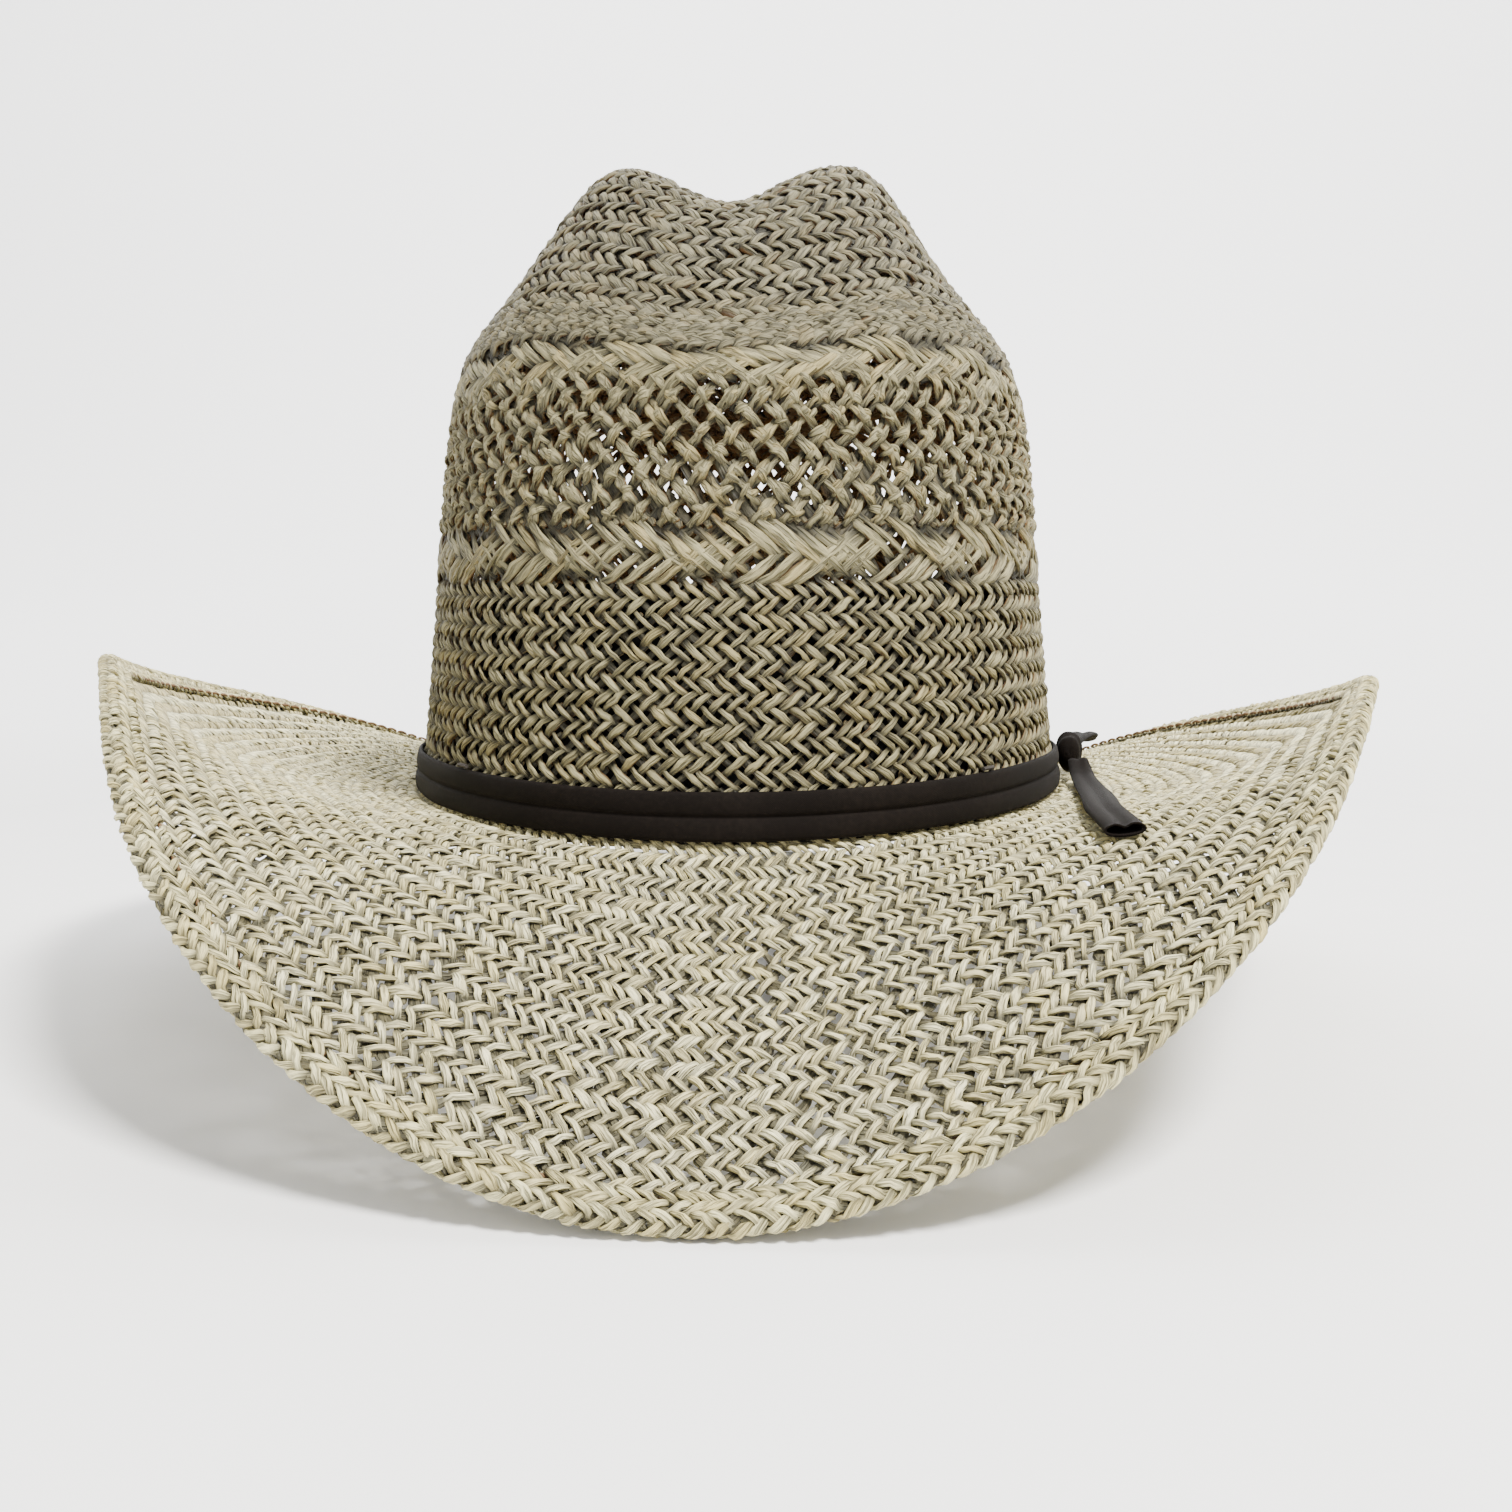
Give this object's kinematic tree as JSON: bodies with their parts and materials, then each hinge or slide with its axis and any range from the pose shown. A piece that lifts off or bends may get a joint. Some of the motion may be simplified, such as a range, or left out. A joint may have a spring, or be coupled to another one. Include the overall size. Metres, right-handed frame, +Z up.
{
  "type": "straw cowboy hat",
  "caption": "Woven straw western hat with a creased crown, a curled and hemmed brim, a thin dark ribbon tied at the side and a sweatband inside.",
  "frame": {"origin": "on the ground under the middle of the hat, which stands on the front and rear of its brim", "axes": "+Z up through the crown; the wearer faces -Y; the ribbon's knot is on +X"},
  "size_m": [0.338, 0.4036, 0.2116],
  "materials": {
    "straw_crown": "open woven twisted straw, khaki beige",
    "straw_brim": "woven twisted straw, cream",
    "straw_hem": "folded woven straw, cream to yellow",
    "brown_thread": "brown cotton thread",
    "wire_steel": "drawn steel wire",
    "sleeve_brass": "crimped brass tube",
    "ribbon_cloth": "dark brown folded ribbon cloth",
    "dark_thread": "dark sewing thread",
    "sweatband_cloth": "black elastic sweatband cloth",
    "reed_plastic": "cloth-covered plastic reed",
    "bow_cloth": "black satin bow",
    "tab_cloth": "blank woven tab"
  },
  "bodies": {
    "root": {"crown": "straw_crown", "brim": "straw_brim", "brim_hem": "straw_hem", "hem_stitching": "brown_thread", "brim_wire": "wire_steel", "wire_sleeve": "sleeve_brass", "hat_ribbon": "ribbon_cloth", "ribbon_tacks": "dark_thread", "ribbon_knot": "ribbon_cloth", "front_tail": "ribbon_cloth", "rear_tail": "ribbon_cloth", "sweatband": "sweatband_cloth", "sweatband_reed": "reed_plastic", "sweatband_stitching": "dark_thread", "sweatband_bow": "bow_cloth", "size_tab": "tab_cloth"}
  },
  "joints": []
}
